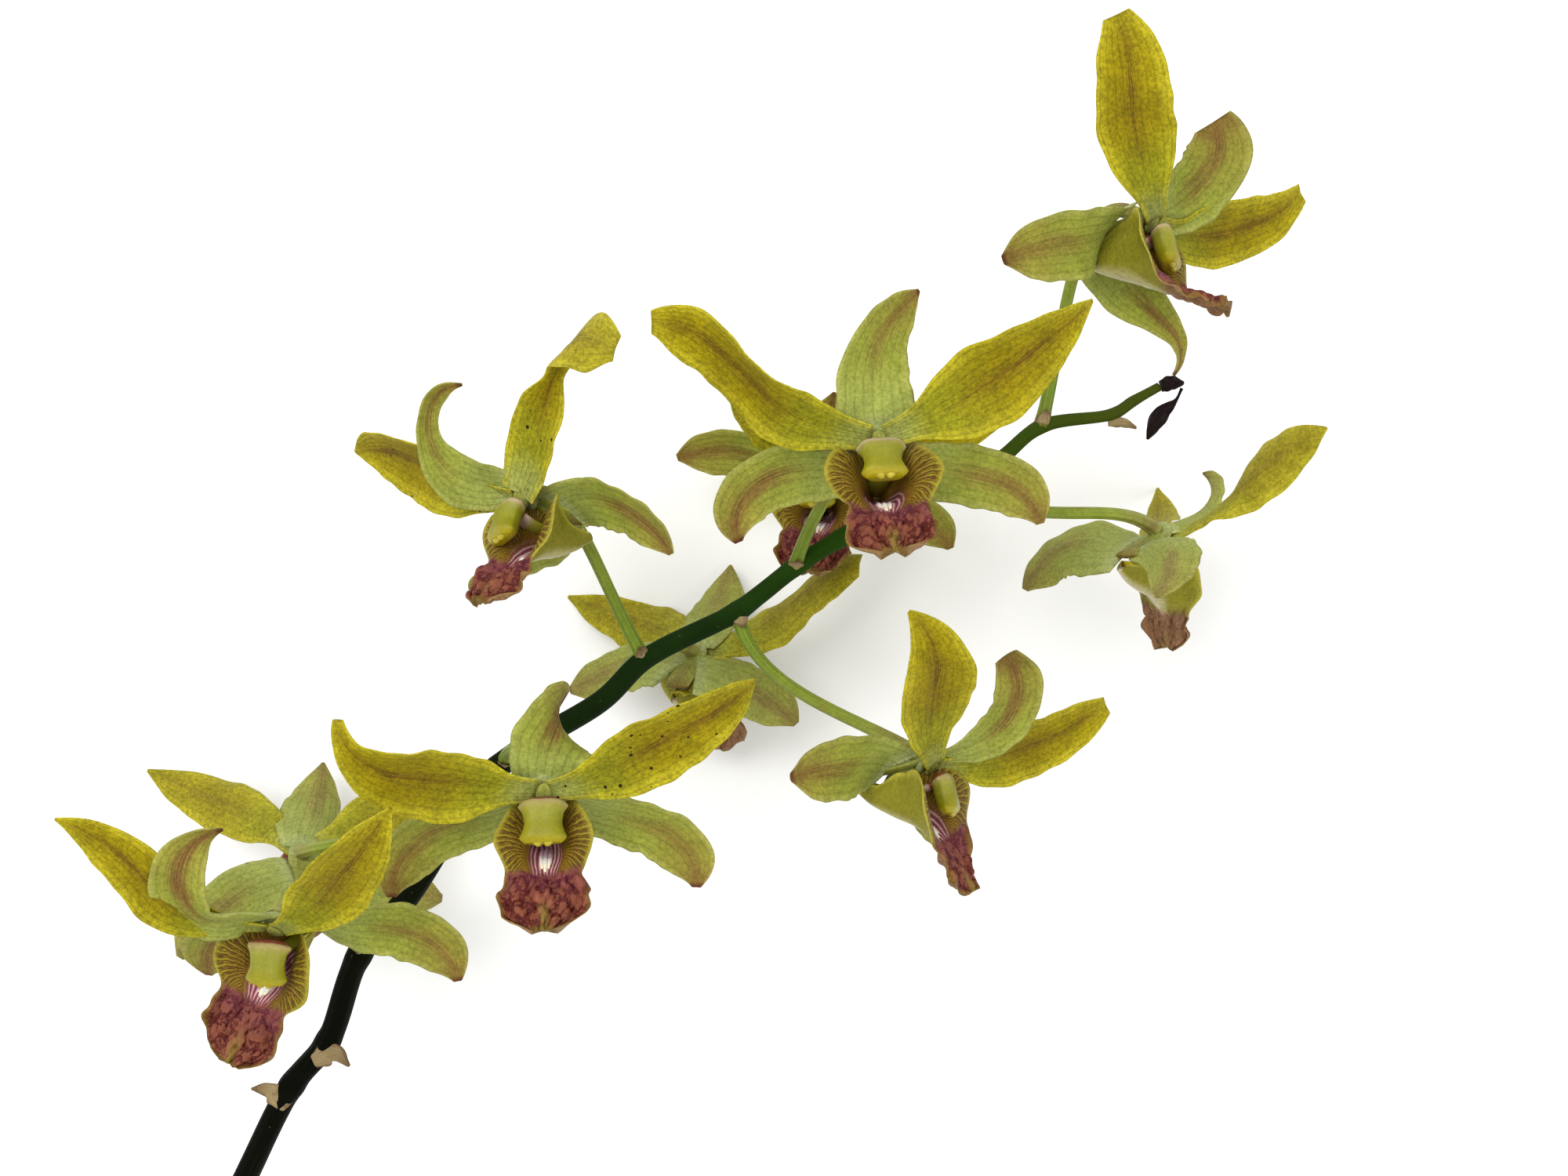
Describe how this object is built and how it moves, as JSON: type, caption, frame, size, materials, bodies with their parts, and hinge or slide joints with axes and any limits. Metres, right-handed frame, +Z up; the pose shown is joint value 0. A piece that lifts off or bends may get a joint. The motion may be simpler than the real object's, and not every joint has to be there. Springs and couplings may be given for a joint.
{
  "type": "dendrobium orchid stem",
  "caption": "Cut dendrobium orchid spray lying on its side: an arching zigzag stem with yellow-green blooms on short pedicels, each with a red-brown lip.",
  "frame": {"origin": "middle of the spray's bounding box, on the surface it lies on", "axes": "+Z up from the surface, +Y towards the tip of the spray, +X to the right of it seen from above"},
  "size_m": [0.2414, 0.2771, 0.1028],
  "materials": {
    "stem": "dark green, almost black low down, slightly glossy",
    "pedicel": "olive green, satin",
    "sepal": "pale green with darker veins and brownish tips, satin",
    "petal": "olive yellow with a golden-brown midrib, satin",
    "lip": "dusty red-brown, veined side lobes, purple and white throat",
    "column": "waxy yellow-green",
    "bract": "dry, papery, tan",
    "withered_bud": "dry, shrivelled, nearly black"
  },
  "bodies": {
    "root": {"stem": "stem", "sepals_upper_middle": "sepal", "petals_upper_middle": "petal", "lip_upper_middle": "lip", "column_upper_middle": "column", "pedicel_upper_middle": "pedicel", "sepals_lower_middle": "sepal", "petals_lower_middle": "petal", "lip_lower_middle": "lip", "column_lower_middle": "column", "pedicel_lower_middle": "pedicel", "sepals_upper_left": "sepal", "petals_upper_left": "petal", "lip_upper_left": "lip", "column_upper_left": "column", "pedicel_upper_left": "pedicel", "sepals_lower_left": "sepal", "petals_lower_left": "petal", "lip_lower_left": "lip", "column_lower_left": "column", "pedicel_lower_left": "pedicel", "sepals_back_left": "sepal", "petals_back_left": "petal", "lip_back_left": "lip", "column_back_left": "column", "pedicel_back_left": "pedicel", "sepals_back_middle": "sepal", "petals_back_middle": "petal", "lip_back_middle": "lip", "column_back_middle": "column", "pedicel_back_middle": "pedicel", "sepals_back_upper": "sepal", "petals_back_upper": "petal", "lip_back_upper": "lip", "column_back_upper": "column", "pedicel_back_upper": "pedicel", "sepals_top": "sepal", "petals_top": "petal", "lip_top": "lip", "column_top": "column", "pedicel_top": "pedicel", "sepals_right": "sepal", "petals_right": "petal", "lip_right": "lip", "column_right": "column", "pedicel_right": "pedicel", "sepals_lower_right": "sepal", "petals_lower_right": "petal", "lip_lower_right": "lip", "column_lower_right": "column", "pedicel_lower_right": "pedicel", "bract_lower_1": "bract", "bract_lower_2": "bract", "bract_upper": "bract", "tip_bud": "withered_bud", "dried_bud": "withered_bud"}
  },
  "joints": []
}
